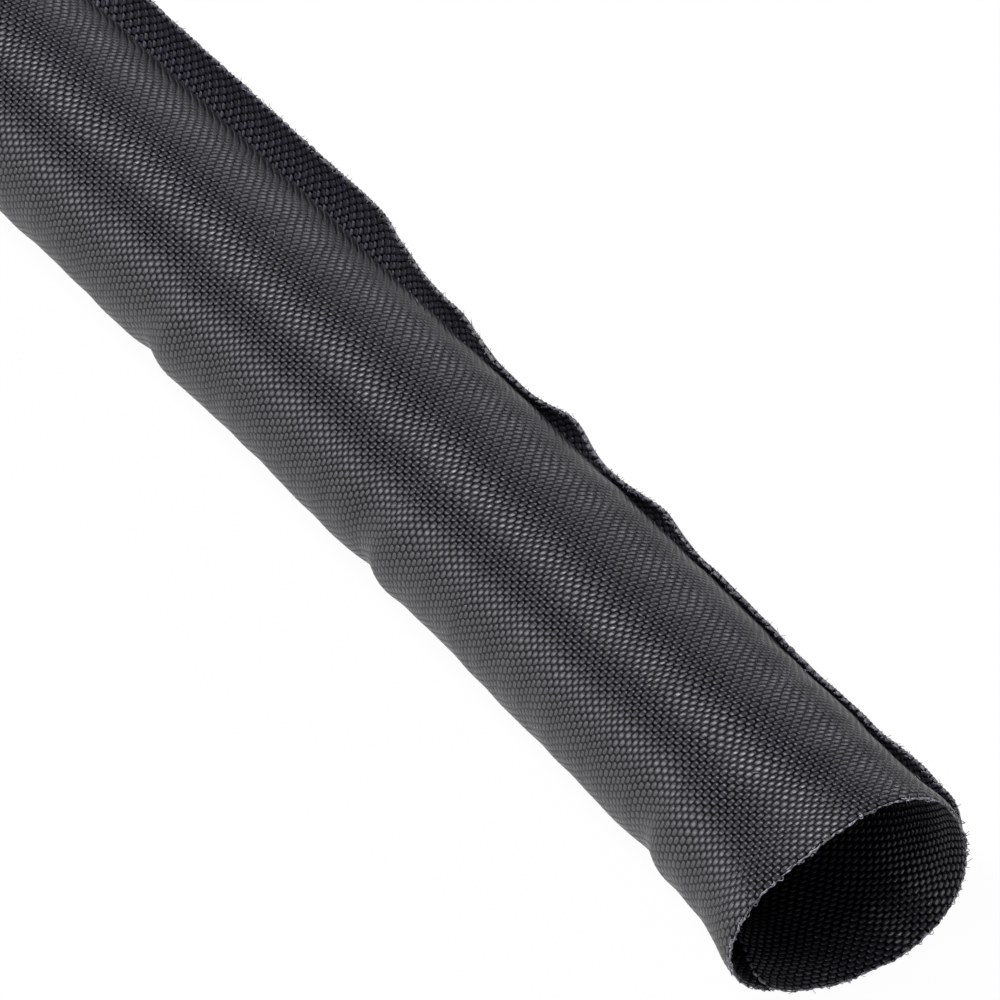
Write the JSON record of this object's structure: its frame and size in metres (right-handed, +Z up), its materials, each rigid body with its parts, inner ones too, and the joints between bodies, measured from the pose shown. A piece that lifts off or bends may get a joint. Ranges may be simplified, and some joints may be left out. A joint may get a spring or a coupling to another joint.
{
  "type": "self-wrapping woven cable sleeve",
  "caption": "Black woven split sleeve set into an overlapping curl, with a loose outer flap and a flared cut mouth, for bundling cables.",
  "frame": {"origin": "under the middle of the sleeve's bounding box, on the surface that it lies on", "axes": "+X along the sleeve towards its flared mouth, +Z up; the outer free edge is on the +Y side near the top"},
  "size_m": [0.1526, 0.0302, 0.0245],
  "materials": {
    "woven_yarn": "satin"
  },
  "bodies": {
    "root": {"sleeve": "woven_yarn"}
  },
  "joints": []
}
